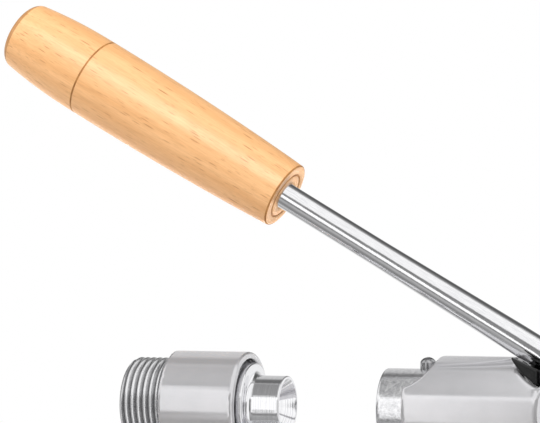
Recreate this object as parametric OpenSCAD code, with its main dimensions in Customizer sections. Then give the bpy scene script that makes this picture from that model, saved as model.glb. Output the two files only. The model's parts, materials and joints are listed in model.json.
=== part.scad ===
// Bench nutcracker: a lever drives a round ram along X towards a screw-adjusted cup.
// Frame: X along the ram towards the lever pivot, Z up, origin on the bench under the base.
// The model stands open: the ram is fully back and the lever rests on the ram guide.

/* [Base] */
// Length of the wooden base
base_len = 250; // [235:5:300]
// Width of the wooden base
base_w = 100; // [90:5:140]
// Thickness of the wooden base
base_t = 20; // [16:1:26]
// Height of the rubber feet
foot_h = 5; // [4:0.5:8]
// Diameter of the four bench-screw holes, through the base and its feet
bench_hole_d = 5.5; // [4:0.5:7]

/* [Frame casting] */
// Height of the ram axis above the bench
axis_z = 72; // [68:1:84]
// Thickness of the casting's bed
bed_t = 8; // [6:1:9]
// Outer diameter of the anvil collar
collar_d = 40.5; // [40:0.5:44]
// Length of the anvil collar
collar_len = 30.5; // [26:0.5:32]
// Outer diameter of the ram guide
guide_d = 40; // [38:0.5:42]
// Length of the ram guide
guide_len = 52.5; // [50:0.5:54]

/* [Anvil] */
// Outer diameter of the anvil's thread
thread_d = 35; // [34:0.5:36]
// Pitch of the anvil's thread
thread_pitch = 2.5; // [2:0.5:3]
// Length of the threaded plug
plug_len = 45.5; // [42:0.5:48]
// Outer diameter of the cup
cup_d = 22.6; // [20:0.2:26]
// Distance from the collar's face to the cup's rim
cup_reach = 15.1; // [13.5:0.1:17]

/* [Ram] */
// Diameter of the ram
ram_d = 30; // [29:0.5:31]
// Open gap between the cup's rim and the ram's face
nut_gap = 39.3; // [37:0.1:41]
// Thickness of the flat tongue at the ram's tail
tongue_t = 12; // [10:0.5:12]

/* [Lever] */
// Tilt of the lever above the horizontal when it rests open
lever_angle = 30.5; // [30:0.1:31]
// Swing of the lever from open to closed
lever_swing = 80; // [60:1:80]
// Distance from the pivot pin to the drive pin
drive_r = 20; // [19:0.5:20.5]
// Diameter of the pivot pin and of the drive pin
pin_d = 8; // [7:0.5:8]
// Diameter of the rod below the handle
rod_d = 10; // [9:0.5:10.5]
// Length of the bare rod between the fork and the handle
rod_len = 120.5; // [100:0.5:160]
// Length of the wooden handle
handle_len = 128.5; // [100:0.5:150]
// Largest diameter of the wooden handle
handle_d = 31.6; // [28:0.2:36]

/* [Hidden] */
$fn = 64;
eps = 0.5;                                  // overrun of every cut
fit = 0.03;                                 // radial gap of parts fixed to each other
run = 0.05;                                 // radial gap of parts that turn or slide

// Stations along X
collar_x0 = -81.2;
collar_x1 = collar_x0 + collar_len;
cup_rim_x = collar_x1 + cup_reach;
ram_face_x = cup_rim_x + nut_gap;
guide_x0 = 14.9;
guide_x1 = guide_x0 + guide_len;
bed_x0 = -90;
bed_x1 = 106;
bed_w = 64;

// Heights
base_top = foot_h + base_t;
bed_top = base_top + bed_t;

// Lever pivot and drive pin, with the drive pin swinging evenly to both sides of the vertical
pivot_x = guide_x1 + 12.6;
pivot_z = axis_z + 18;
half_swing = lever_swing / 2;
drive_x = pivot_x + drive_r * sin(half_swing);
drive_z = pivot_z - drive_r * cos(half_swing);
drive_z_low = pivot_z - drive_r;
pin_r = pin_d / 2;

// Fork, ears and what lies between them
fork_in = tongue_t / 2 + 0.3;
fork_out = 10.5;
washer_t = 1;
ear_in = fork_out + washer_t + 0.2;
ear_t = 6;
ear_r = 11;
fork_pivot_r = 9;
arm_r = 7.5;
bush_r = pin_r + 2;
cheek_out = 13.5;

// Saddle cuts across the top of the ram guide, as circles in the XZ plane
front_cut_r = 15.8;
front_cut_x = guide_x0 - 4.8;
front_cut_z = axis_z + 23.9;
rear_cut_r = 23.8;
rear_cut_x = guide_x1 + 7.6;
rear_cut_z = axis_z + 31.2;

// Lower end of the rod, where it meets the fork's socket
rod_end_x = guide_x1 - 0.2;
rod_end_z = axis_z + 18.7;
rod_end_d = rod_d + 1.2;
spigot_r = 4;
spigot_len = 6.5;
lock_pin_r = 1.5;
rod_in_handle = 12;
handle_thread_r = 4;
handle_thread_len = 28;
insert_r = 6.5;

// Ram, from the face back to the tongue
split_x = ram_face_x + 47.5;
tail_x1 = split_x + 8;
tongue_half = 10.5;
slot_w = pin_d + 1.1;
slot_room = 1;
stud_r = 4;
stop_x = guide_x0 + 4.9;
stop_head_r = 3;
stop_seat_z = axis_z + 14.2;

// Anvil
plug_x1 = cup_rim_x - 17.4;
plug_x0 = plug_x1 - plug_len;
stem_r = 6;
ring_seat_depth = 5;
slot_turn = 50;

// Fasteners
bolt_x = [bed_x0 + 11, bed_x1 - 11];
bolt_y = [-24, 24];
bolt_r = 3;
nut_pocket_r = 7.5;
nut_pocket_h = 6;
foot_x = base_len / 2 - 20;
foot_y = base_w / 2 - 14;

wood = [0.90, 0.72, 0.50];
cast_silver = [0.76, 0.77, 0.78];
steel = [0.62, 0.63, 0.65];
chrome = [0.85, 0.86, 0.88];
black = [0.06, 0.06, 0.07];
rubber = [0.10, 0.10, 0.10];
brass = [0.80, 0.62, 0.30];

// ---- shared shapes -------------------------------------------------------------------

module plate(length, width, thick, r) {
    linear_extrude(thick) {
        square([length, width - 2 * r], center = true);
        square([length - 2 * r, width], center = true);
        for (x = [-1, 1], y = [-1, 1])
            translate([x * (length / 2 - r), y * (width / 2 - r)]) circle(r);
    }
}

// A solid of revolution about the ram axis: points are [x, radius]
module turned_on_axis(points) {
    translate([0, 0, axis_z]) rotate([0, 90, 0]) rotate_extrude()
        polygon([for (p = points) [p[1], p[0]]]);
}

// A straight bore or bar along the ram axis
module axis_bar(x0, x1, r) {
    translate([x0, 0, axis_z]) rotate([0, 90, 0]) cylinder(h = x1 - x0, r = r);
}

// A cylinder along Y, centred on the XZ plane
module cross_bar(x, z, r, length) {
    translate([x, 0, z]) rotate([90, 0, 0]) cylinder(h = length, r = r, center = true);
}

// An XZ outline, given thickness along Y about the middle plane
module side_plate(thick) {
    rotate([90, 0, 0]) linear_extrude(thick, center = true) children();
}

// A ring along Y on both sides of the middle plane
module side_rings(x, z, y0, y1, r_in, r_out) {
    for (side = [-1, 1])
        translate([x, side * (y0 + y1) / 2, z]) rotate([90, 0, 0]) difference() {
            cylinder(h = y1 - y0, r = r_out, center = true);
            cylinder(h = y1 - y0 + 2 * eps, r = r_in, center = true);
        }
}

// The lever's own frame: origin at the rod's lower end, Z up the rod
module along_lever() {
    translate([rod_end_x, 0, rod_end_z]) rotate([0, lever_angle - 90, 0]) children();
}

module at_bolts() {
    for (x = bolt_x, y = bolt_y) translate([x, y, 0]) children();
}

module at_feet() {
    for (x = [-foot_x, foot_x], y = [-foot_y, foot_y]) translate([x, y, 0]) children();
}

// ---- base ----------------------------------------------------------------------------

module base_board() {
    color(wood) difference() {
        translate([0, 0, foot_h]) plate(base_len, base_w, base_t, 10);
        at_bolts() {
            cylinder(h = base_top + eps, r = bolt_r + 0.2);
            cylinder(h = foot_h + nut_pocket_h, r = nut_pocket_r);
        }
        at_feet() cylinder(h = base_top + eps, d = bench_hole_d);
    }
}

module rubber_feet() {
    color(rubber) at_feet() difference() {
        cylinder(h = foot_h, r1 = 8.5, r2 = 10);
        translate([0, 0, -eps]) cylinder(h = foot_h + 2 * eps, d = bench_hole_d);
    }
}

// ---- frame casting -------------------------------------------------------------------

// Neck of a pedestal in the YZ plane, with a round fillet into the bed
module pedestal_section(neck, fillet) {
    difference() {
        translate([-neck - fillet, bed_top - eps])
            square([2 * (neck + fillet), axis_z - bed_top + eps]);
        for (side = [-1, 1]) translate([side * (neck + fillet), bed_top + fillet]) {
            circle(fillet);
            translate([-fillet, 0]) square([2 * fillet, axis_z]);
        }
    }
}

module pedestal(x0, x1) {
    translate([x0, 0, 0]) rotate([90, 0, 90]) linear_extrude(x1 - x0) pedestal_section(9, 8);
}

module ear_outline() {
    translate([pivot_x, pivot_z]) circle(ear_r);
    polygon([
        [guide_x1 - 2, bed_top - eps],
        [guide_x1 - 2, axis_z + 6],
        [pivot_x - ear_r * sin(60), pivot_z + ear_r * cos(60)],
        [pivot_x + ear_r * sin(60), pivot_z + ear_r * cos(60)],
        [pivot_x + ear_r + 7, bed_top - eps]
    ]);
}

module ears() {
    for (side = [-1, 1])
        translate([0, side * (ear_in + ear_t / 2), 0]) side_plate(ear_t) ear_outline();
}

module ram_guide() {
    r = guide_d / 2;
    front_edge = 0.5;
    rear_edge = 1.6;
    difference() {
        union() {
            turned_on_axis([[guide_x0, 0], [guide_x0, r - front_edge], [guide_x0 + front_edge, r],
                [guide_x1 - rear_edge, r], [guide_x1, r - rear_edge], [guide_x1, 0]]);
            pedestal(guide_x0 + 3, guide_x1 - 3);
        }
        cross_bar(front_cut_x, front_cut_z, front_cut_r, guide_d + 2);
        cross_bar(rear_cut_x, rear_cut_z, rear_cut_r, guide_d + 2);
    }
}

module anvil_collar() {
    back_edge = 0.3;
    front_edge = 1;
    r = collar_d / 2;
    turned_on_axis([[collar_x0, 0], [collar_x0, r - back_edge], [collar_x0 + back_edge, r],
        [collar_x1 - front_edge, r], [collar_x1, r - front_edge], [collar_x1, 0]]);
    pedestal(collar_x0 + 2, collar_x1 - 2);
}

module frame_casting() {
    color(cast_silver) difference() {
        union() {
            translate([(bed_x0 + bed_x1) / 2, 0, base_top]) plate(bed_x1 - bed_x0, bed_w, bed_t, 12);
            anvil_collar();
            ram_guide();
            ears();
        }
        axis_bar(collar_x0 - eps, collar_x1 + eps, thread_d / 2 + run);
        axis_bar(guide_x0 - eps, guide_x1 + eps, ram_d / 2 + run);
        cross_bar(pivot_x, pivot_z, pin_r + fit, 60);
        at_bolts() cylinder(h = bed_top + eps, r = bolt_r + 0.2);
    }
}

module frame_bolts() {
    color(steel) at_bolts() {
        translate([0, 0, foot_h + 0.8]) cylinder(h = bed_top - foot_h - 0.8, r = bolt_r);
        translate([0, 0, bed_top]) difference() {
            rotate_extrude() intersection() {
                translate([0, -6]) circle(9.5);
                square([5.5, 6]);
            }
            translate([-4, -0.7, 2]) cube([8, 1.4, 4]);
            translate([-0.7, -4, 2]) cube([1.4, 8, 4]);
        }
    }
}

module frame_washers() {
    color(steel) at_bolts() translate([0, 0, foot_h + nut_pocket_h - 1]) difference() {
        cylinder(h = 1, r = 6.5);
        translate([0, 0, -eps]) cylinder(h = 1 + 2 * eps, r = bolt_r + 0.2);
    }
}

module frame_nuts() {
    color(steel) at_bolts() translate([0, 0, foot_h + 0.4]) difference() {
        cylinder(h = nut_pocket_h - 1.4, r = 5.77, $fn = 6);
        translate([0, 0, -eps]) cylinder(h = nut_pocket_h, r = bolt_r + fit);
    }
}

// ---- pivot ---------------------------------------------------------------------------

circlip_y0 = ear_in + ear_t + 0.1;
circlip_t = 1;
pin_end = circlip_y0 + circlip_t + 1.2;
groove_r = pin_r - 0.4;

module pivot_pin() {
    color(steel) difference() {
        cross_bar(pivot_x, pivot_z, pin_r, 2 * pin_end);
        side_rings(pivot_x, pivot_z, circlip_y0, circlip_y0 + circlip_t + 0.1, groove_r, pin_r + 1);
    }
}

module pivot_circlips() {
    color(black) difference() {
        side_rings(pivot_x, pivot_z, circlip_y0 + 0.05, circlip_y0 + circlip_t, groove_r + fit, pin_r + 2.2);
        translate([pivot_x - 1.5, -30, pivot_z]) cube([3, 60, 10]);
    }
}

module thrust_washers() {
    color(brass) side_rings(pivot_x, pivot_z, fork_out + 0.05, fork_out + washer_t + 0.05,
        pin_r + run, pin_r + 4);
}

module pivot_bushes() {
    color(brass) side_rings(pivot_x, pivot_z, fork_in, fork_out, pin_r + run, bush_r);
}

// ---- lever ---------------------------------------------------------------------------

// Outline of the fork in the XZ plane, at rest
module fork_outline() {
    // Short arm from the pivot to the drive pin
    translate([pivot_x, pivot_z]) circle(fork_pivot_r);
    translate([drive_x, drive_z]) circle(arm_r);
    translate([pivot_x, pivot_z]) rotate(half_swing - 90)
        translate([0, -arm_r]) square([drive_r, 2 * arm_r]);
    // Socket and side cheeks, kept clear of the saddle cut and of the ram below
    intersection() {
        translate([rear_cut_x, rear_cut_z]) circle(rear_cut_r - 0.6);
        translate([pivot_x, pivot_z]) polygon([[-28, 3.7], [-14.7, -2.5], [-8.6, 7.8], [0, fork_pivot_r],
            [0, -fork_pivot_r], [-14, -9.6], [-19.7, -9.6], [-19.7, -3.7], [-28, -3.7]]);
    }
}

// Outer cheeks, which fill the saddle cut beside the rod
module cheek_outline() {
    intersection() {
        translate([rear_cut_x, rear_cut_z]) circle(rear_cut_r - 0.6);
        translate([pivot_x, pivot_z]) polygon([[-28, 3.7], [-15.5, -2.1], [-15.5, -14], [-28, -14]]);
    }
}

module lever_fork() {
    color(black) difference() {
        union() {
            side_plate(2 * fork_out) fork_outline();
            for (side = [-1, 1])
                translate([0, side * (fork_out + cheek_out - 0.5) / 2, 0])
                    side_plate(cheek_out - fork_out + 0.5) cheek_outline();
        }
        // Room for the ram's tongue, from the socket back and below it
        translate([pivot_x - 6.5, -fork_in, bed_top]) cube([60, 2 * fork_in, 120]);
        translate([pivot_x - 40, -fork_in, bed_top]) cube([100, 2 * fork_in, pivot_z - 6.8 - bed_top]);
        // Room for the rod between the cheeks, and its socket
        along_lever() {
            translate([-40, -fork_in, 0]) cube([80, 2 * fork_in, 60]);
            translate([0, 0, -spigot_len - 0.2]) cylinder(h = spigot_len + 1, r = spigot_r + fit);
            translate([0, 0, -spigot_len / 2]) rotate([90, 0, 0])
                cylinder(h = 60, r = lock_pin_r + fit, center = true);
        }
        cross_bar(pivot_x, pivot_z, bush_r + fit, 60);
        cross_bar(drive_x, drive_z, pin_r + fit, 60);
    }
}

module rod_lock_pin() {
    color(steel) along_lever() translate([0, 0, -spigot_len / 2]) rotate([90, 0, 0])
        cylinder(h = 2 * fork_out - 1, r = lock_pin_r, center = true);
}

module drive_pin() {
    color(steel) cross_bar(drive_x, drive_z, pin_r, 2 * fork_out);
}

module lever_rod() {
    r0 = rod_end_d / 2;
    r1 = rod_d / 2;
    top = rod_len + rod_in_handle;
    color(chrome) along_lever() difference() {
        rotate_extrude() polygon([[0, -spigot_len], [spigot_r, -spigot_len], [spigot_r, 0], [r0, 0],
            [r0, 16], [r1, 77], [r1, top], [handle_thread_r, top],
            [handle_thread_r, top + handle_thread_len - 1],
            [handle_thread_r - 1, top + handle_thread_len], [0, top + handle_thread_len]]);
        translate([0, 0, -spigot_len / 2]) rotate([90, 0, 0])
            cylinder(h = 60, r = lock_pin_r + fit, center = true);
    }
}

handle_top = rod_len + handle_len;
groove_at = 0.714 * handle_len;
butt_r = 0.42 * handle_d;
front_r = 0.41 * handle_d;
butt_round = 4;

// Handle radius at a distance from its front face
function handle_r(t) = t < groove_at
    ? front_r + (handle_d / 2 - front_r) * sin(90 * pow(t / groove_at, 0.85))
    : butt_r + (handle_d / 2 - butt_r) * cos(90 * pow((t - groove_at) / (handle_len - groove_at), 1.3));

module handle() {
    steps = 16;
    nose = 0.6;
    side = [for (i = [0:steps]) let (t = nose + (handle_len - nose - butt_round) * i / steps)
        [handle_r(t), rod_len + t]];
    corner_r = handle_r(handle_len - butt_round) - butt_round;
    butt = [for (a = [15:15:90]) [corner_r + butt_round * cos(a), handle_top - butt_round + butt_round * sin(a)]];
    color(wood) along_lever() difference() {
        rotate_extrude() polygon(concat([[0, rod_len], [front_r - nose, rod_len]], side, butt,
            [[0, handle_top]]));
        rotate_extrude() translate([handle_d / 2 + 0.35, rod_len + groove_at]) circle(0.9);
        translate([0, 0, rod_len - eps]) cylinder(h = rod_in_handle + eps, r = rod_d / 2 + fit);
        translate([0, 0, rod_len]) cylinder(h = rod_in_handle + handle_thread_len + 4, r = insert_r + fit);
    }
}

module handle_insert() {
    color(brass) along_lever() translate([0, 0, rod_len + rod_in_handle]) difference() {
        cylinder(h = handle_thread_len + 2, r = insert_r);
        translate([0, 0, -eps]) cylinder(h = handle_thread_len + 2 + 2 * eps, r = handle_thread_r + fit);
    }
}

// ---- ram -----------------------------------------------------------------------------

module ram_head() {
    r = ram_d / 2;
    edge = 1;
    dimple_r = 10.5;
    dimple_depth = 7;
    color(chrome) difference() {
        turned_on_axis([[ram_face_x + dimple_depth, 0], [ram_face_x + dimple_depth, 2],
            [ram_face_x, dimple_r], [ram_face_x, r - edge], [ram_face_x + edge, r],
            [split_x, r], [split_x, 0]]);
        axis_bar(split_x - 15.2, split_x + eps, stud_r + fit);
        translate([stop_x, 0, stop_seat_z]) cylinder(h = 10, r = stop_head_r + 0.2);
        translate([stop_x, 0, stop_seat_z - 9]) cylinder(h = 10, r = 2 + fit);
    }
}

module ram_tail() {
    slot_low = drive_z_low - pin_r - slot_room;
    slot_high = drive_z + pin_r + slot_room;
    end_x = drive_x + slot_w / 2 + 4.5;
    round = 5;
    color(black) difference() {
        union() {
            axis_bar(split_x, tail_x1, ram_d / 2);
            side_plate(tongue_t) {
                translate([tail_x1 - 1, axis_z - tongue_half])
                    square([end_x - round - tail_x1 + 1, 2 * tongue_half]);
                translate([end_x - round - eps, axis_z - tongue_half + round])
                    square([round + eps, 2 * (tongue_half - round)]);
                for (side = [-1, 1])
                    translate([end_x - round, axis_z + side * (tongue_half - round)]) circle(round);
            }
        }
        axis_bar(split_x - eps, split_x + 16.2, stud_r + fit);
        translate([drive_x - slot_w / 2, -20, slot_low]) cube([slot_w, 40, slot_high - slot_low]);
    }
}

module ram_stud() {
    color(steel) axis_bar(split_x - 15, split_x + 16, stud_r);
}

module ram_stop_screw() {
    dome_r = 3.3;
    head_h = 5.2;
    color(steel) {
        translate([stop_x, 0, stop_seat_z - 8.5]) cylinder(h = 9, r = 2);
        translate([stop_x, 0, stop_seat_z]) rotate_extrude() intersection() {
            translate([0, head_h - dome_r]) circle(dome_r);
            square([stop_head_r, head_h]);
        }
    }
}

// ---- anvil ---------------------------------------------------------------------------

module anvil_screw() {
    crest = thread_d / 2;
    root = crest - 0.5 * thread_pitch;
    turns = floor((plug_len - 2) / thread_pitch);
    start = plug_x0 + (plug_len - turns * thread_pitch) / 2;
    teeth = [for (i = [0:turns - 1]) each [
        [start + i * thread_pitch, root],
        [start + (i + 0.42) * thread_pitch, crest],
        [start + (i + 0.58) * thread_pitch, crest]]];
    color(steel) difference() {
        turned_on_axis(concat([[plug_x0, 0], [plug_x0, root - 0.4]], teeth,
            [[start + turns * thread_pitch, root], [plug_x1, root], [plug_x1, 0]]));
        axis_bar(plug_x0 - eps, plug_x1 + eps, stem_r + run);
        axis_bar(plug_x0 - eps, plug_x0 + ring_seat_depth, 9);
        translate([plug_x0 - eps, 0, axis_z]) rotate([slot_turn, 0, 0])
            translate([0, -20, -2.5]) cube([3 + eps, 40, 5]);
    }
}

module anvil_cup() {
    r = cup_d / 2;
    flange_r = 16;
    flange_x1 = plug_x1 + 4.3;
    fillet = 2.2;
    ring_x = plug_x0 + ring_seat_depth - 1.3;
    stem_x0 = ring_x - 1.2;
    cone_depth = 10;
    color(chrome) difference() {
        turned_on_axis(concat(
            [[stem_x0, 0], [stem_x0, stem_r - 1.2], [stem_x0 + 0.4, stem_r - 0.8], [ring_x, stem_r - 0.8],
                [ring_x + 1.1, stem_r - 0.8], [ring_x + 1.1, stem_r], [plug_x1 + 0.1, stem_r],
                [plug_x1 + 0.1, flange_r], [flange_x1 - 0.6, flange_r], [flange_x1, flange_r - 0.6]],
            [for (a = [0:15:90]) [flange_x1 + fillet * (1 - cos(a)), r + fillet * (1 - sin(a))]],
            [[cup_rim_x - 0.6, r], [cup_rim_x, r - 0.6], [cup_rim_x, r - 1.2],
                [cup_rim_x - cone_depth, 2], [cup_rim_x - cone_depth, 0]]));
    }
}

module cup_retaining_ring() {
    ring_x = plug_x0 + ring_seat_depth - 1.3;
    color(black) difference() {
        axis_bar(ring_x + 0.05, ring_x + 1.05, 8);
        axis_bar(ring_x - eps, ring_x + 2, stem_r - 0.8 + fit);
        translate([ring_x - 1, -1.5, axis_z]) cube([4, 3, 10]);
    }
}

base_board();
rubber_feet();
frame_casting();
frame_bolts();
frame_washers();
frame_nuts();
pivot_pin();
pivot_circlips();
thrust_washers();
pivot_bushes();
lever_fork();
lever_rod();
rod_lock_pin();
drive_pin();
handle();
handle_insert();
ram_head();
ram_tail();
ram_stud();
ram_stop_screw();
anvil_screw();
anvil_cup();
cup_retaining_ring();
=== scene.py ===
"""Bench nutcracker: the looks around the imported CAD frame. Sizes are in millimetres until a mesh is made."""
import json
import math

import bmesh
import bpy
import numpy as np
from mathutils import Matrix, Vector


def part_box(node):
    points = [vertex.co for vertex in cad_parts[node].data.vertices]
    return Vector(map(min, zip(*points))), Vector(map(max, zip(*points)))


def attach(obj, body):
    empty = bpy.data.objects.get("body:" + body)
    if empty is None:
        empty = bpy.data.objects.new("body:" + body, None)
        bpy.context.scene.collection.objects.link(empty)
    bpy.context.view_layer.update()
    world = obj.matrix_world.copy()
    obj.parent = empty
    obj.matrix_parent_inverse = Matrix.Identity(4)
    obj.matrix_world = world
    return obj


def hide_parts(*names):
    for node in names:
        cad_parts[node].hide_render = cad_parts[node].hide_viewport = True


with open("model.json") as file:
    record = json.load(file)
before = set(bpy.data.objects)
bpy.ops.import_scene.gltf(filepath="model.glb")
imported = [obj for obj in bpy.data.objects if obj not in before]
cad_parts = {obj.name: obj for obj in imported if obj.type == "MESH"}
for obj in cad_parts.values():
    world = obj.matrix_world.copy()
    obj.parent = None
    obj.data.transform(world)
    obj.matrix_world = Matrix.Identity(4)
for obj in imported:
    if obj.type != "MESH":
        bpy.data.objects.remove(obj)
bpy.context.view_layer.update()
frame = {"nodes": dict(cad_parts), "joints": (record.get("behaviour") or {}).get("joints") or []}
MM = 0.001

# ---- places, from the frame ------------------------------------------------------------


def box_mm(node):
    """Lowest and highest corner of a CAD node, in millimetres."""
    lo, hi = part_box(node)
    return np.array(lo) / MM, np.array(hi) / MM


JOINTS = {j["name"]: j for j in frame["joints"]}
PIVOT_X = JOINTS["lever_swing"]["pos_m"][0] / MM
PIVOT_Z = JOINTS["lever_swing"]["pos_m"][2] / MM
HEAD_LO, HEAD_HI = box_mm("ram_head")
AXIS_Z = (HEAD_LO[2] + HEAD_HI[2]) / 2
RAM_R = (HEAD_HI[1] - HEAD_LO[1]) / 2
CUP_LO, CUP_HI = box_mm("anvil_cup")
CUP_RIM = CUP_HI[0]
SCREW_LO, SCREW_HI = box_mm("anvil_screw")
THREAD_R = (SCREW_HI[1] - SCREW_LO[1]) / 2
SLOT_TURN = 50
BED_LO, BED_HI = box_mm("frame_casting")
BOARD_LO, BOARD_HI = box_mm("base_board")
DRIVE_LO, DRIVE_HI = box_mm("drive_pin")
DRIVE_X = (DRIVE_LO[0] + DRIVE_HI[0]) / 2
DRIVE_Z = (DRIVE_LO[2] + DRIVE_HI[2]) / 2
PIN_R = (DRIVE_HI[0] - DRIVE_LO[0]) / 2

# Casting: collar, ram guide with its two saddle cuts, bed and ears
BED_THICK = 8
BED_TOP = BED_LO[2] + BED_THICK
CUP_REACH = 15.1
COLLAR_LEN = 30.5
COLLAR_R = 20.25
COLLAR_X1 = CUP_RIM - CUP_REACH
COLLAR_X0 = COLLAR_X1 - COLLAR_LEN
GUIDE_TO_PIVOT = 12.6
GUIDE_LEN = 52.5
GUIDE_R = 20
GUIDE_X1 = PIVOT_X - GUIDE_TO_PIVOT
GUIDE_X0 = GUIDE_X1 - GUIDE_LEN
FRONT_CUT = (GUIDE_X0 - 4.8, AXIS_Z + 23.9, 15.8)
REAR_CUT = (GUIDE_X1 + 7.6, AXIS_Z + 31.2, 23.8)
EAR_IN = 11.7
EAR_OUT = 17.7
EAR_R = 11

# Lever: its axis runs up the rod from the rod's lower end
LEVER_TILT = math.radians(30.5)
ROD_END = Vector((GUIDE_X1 - 0.2, 0, AXIS_Z + 18.7)) * MM
LEVER_Z = Vector((-math.cos(LEVER_TILT), 0, math.sin(LEVER_TILT)))
LEVER_X = Vector((0, 1, 0)).cross(LEVER_Z)
LEVER_FRAME = Matrix((
    (LEVER_X.x, 0, LEVER_Z.x, ROD_END.x),
    (LEVER_X.y, 1, LEVER_Z.y, ROD_END.y),
    (LEVER_X.z, 0, LEVER_Z.z, ROD_END.z),
    (0, 0, 0, 1)))
FORK_IN = 6.3
FORK_OUT = 10.5
CHEEK_OUT = 13.5


def span_along_lever(node):
    """Where a CAD node starts and ends along the lever's axis, in millimetres from the rod's lower end."""
    t = [(v.co - ROD_END).dot(LEVER_Z) for v in frame["nodes"][node].data.vertices]
    return min(t) / MM, max(t) / MM


HANDLE_T0, HANDLE_T1 = span_along_lever("handle")
HANDLE_LEN = HANDLE_T1 - HANDLE_T0
HANDLE_R = 15.8
ROD_R = 5.0
SPIGOT = 6.5
PIN_PLAY = 0.55

# Holes and clearances
PIN_FIT = 0.03
STUD_BORE_R = 4.03
BUSH_ROOM = 2.03
BOLT_HOLE_R = 3.2
SADDLE_ROOM = 0.6

# ---- node graphs -----------------------------------------------------------------------


class Graph:
    """A material's node tree with short calls for what the materials below need."""

    def __init__(self, name, **sockets):
        self.mat = bpy.data.materials.new(name)
        self.mat.use_nodes = True
        self.tree = self.mat.node_tree
        self.bsdf = self.tree.nodes["Principled BSDF"]
        for key, value in sockets.items():
            self.bsdf.inputs[key.replace("_", " ").title().replace("Ior", "IOR")].default_value = value

    def node(self, kind, **props):
        n = self.tree.nodes.new(kind)
        for key, value in props.items():
            setattr(n, key, value)
        return n

    def link(self, a, b):
        self.tree.links.new(a, b)

    def coords(self, stretch=(1, 1, 1), offset=(0, 0, 0)):
        """Object coordinates in millimetres; a small stretch factor makes long features on that axis."""
        tex = self.node("ShaderNodeTexCoord")
        mapping = self.node("ShaderNodeMapping")
        mapping.inputs["Scale"].default_value = [s / MM for s in stretch]
        mapping.inputs["Location"].default_value = offset
        self.link(tex.outputs["Object"], mapping.inputs["Vector"])
        return mapping.outputs["Vector"]

    def noise(self, vector, scale, detail=3, roughness=0.55, distortion=0.0):
        n = self.node("ShaderNodeTexNoise")
        self.link(vector, n.inputs["Vector"])
        n.inputs["Scale"].default_value = scale
        n.inputs["Detail"].default_value = detail
        n.inputs["Roughness"].default_value = roughness
        n.inputs["Distortion"].default_value = distortion
        return n.outputs["Fac"]

    def cells(self, vector, scale=1.0):
        """Voronoi distance to the nearest point, and that cell's random colour."""
        n = self.node("ShaderNodeTexVoronoi")
        self.link(vector, n.inputs["Vector"])
        n.inputs["Scale"].default_value = scale
        return n.outputs["Distance"], n.outputs["Color"]

    def bands(self, vector, scale, distortion, detail=2.0):
        n = self.node("ShaderNodeTexWave", bands_direction="X")
        self.link(vector, n.inputs["Vector"])
        n.inputs["Scale"].default_value = scale
        n.inputs["Distortion"].default_value = distortion
        n.inputs["Detail"].default_value = detail
        n.inputs["Detail Scale"].default_value = 1.0
        return n.outputs["Fac"]

    def ramp(self, factor, stops):
        """A colour ramp: stops are (position, grey or colour)."""
        n = self.node("ShaderNodeValToRGB")
        ramp = n.color_ramp
        while len(ramp.elements) < len(stops):
            ramp.elements.new(0.5)
        for element, (place, colour) in zip(ramp.elements, stops):
            element.position = place
            rgb = (colour,) * 3 if isinstance(colour, (int, float)) else colour
            element.color = (*rgb, 1)
        self.link(factor, n.inputs["Fac"])
        return n.outputs["Color"]

    def math(self, operation, a, b=0.0):
        n = self.node("ShaderNodeMath", operation=operation)
        for value, socket in ((a, n.inputs[0]), (b, n.inputs[1])):
            if isinstance(value, (int, float)):
                socket.default_value = value
            else:
                self.link(value, socket)
        return n.outputs[0]

    def mix(self, factor, a, b, blend="MIX"):
        n = self.node("ShaderNodeMix", data_type="RGBA", blend_type=blend)
        for value, socket in ((factor, n.inputs[0]), (a, n.inputs[6]), (b, n.inputs[7])):
            if isinstance(value, (int, float)):
                socket.default_value = value
            elif isinstance(value, tuple):
                socket.default_value = (*value, 1)
            else:
                self.link(value, socket)
        return n.outputs[2]

    def bump(self, height, distance, strength=1.0):
        """Bump of that many millimetres, into the shader's normal."""
        n = self.node("ShaderNodeBump")
        n.inputs["Distance"].default_value = distance * MM
        n.inputs["Strength"].default_value = strength
        self.link(height, n.inputs["Height"])
        self.link(n.outputs["Normal"], self.bsdf.inputs["Normal"])

    def colour(self, socket):
        self.link(socket, self.bsdf.inputs["Base Color"])

    def roughness(self, socket):
        self.link(socket, self.bsdf.inputs["Roughness"])


# ---- materials -------------------------------------------------------------------------

ALONG = {"X": (0.12, 1, 1), "Z": (1, 1, 0.12)}


def beech(name, grain, pale, deep, coat):
    """Beech: soft growth streaks, short dark ray flecks along the grain, fine fibres."""
    g = Graph(name, roughness=0.42, coat_weight=coat, coat_roughness=0.22, specular_ior_level=0.4)
    v = g.coords(ALONG[grain])
    streaks = g.bands(v, 0.06, 7.0, 3.0)
    tone = g.noise(v, 0.16, 4, 0.6)
    blend = g.ramp(g.math("ADD", g.math("MULTIPLY", streaks, 0.25), g.math("MULTIPLY", tone, 0.8)),
                   [(0.25, 0.1), (0.95, 0.8)])
    wood = g.mix(blend, pale, deep)
    fibre = g.noise(g.coords(tuple(s * (0.35 if s < 1 else 1) for s in ALONG[grain])), 2.6, 3, 0.7)
    wood = g.mix(g.ramp(fibre, [(0.42, 0.0), (0.78, 0.55)]), wood, tuple(c * 0.72 for c in deep))
    for size, cut, strength in ((0.50, 0.20, 0.60), (0.80, 0.24, 0.50), (1.30, 0.22, 0.38)):
        distance, cell = g.cells(v, size)
        spot = g.ramp(distance, [(cut * 0.55, 1.0), (cut, 0.0)])
        chosen = g.ramp(cell, [(0.34, 0.0), (0.42, 1.0)])
        wood = g.mix(g.math("MULTIPLY", g.math("MULTIPLY", spot, chosen), strength), wood,
                     (0.40, 0.165, 0.045))
    g.colour(wood)
    g.roughness(g.ramp(fibre, [(0.3, 0.36), (0.8, 0.52)]))
    g.bump(fibre, 0.035)
    return g.mat


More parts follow.
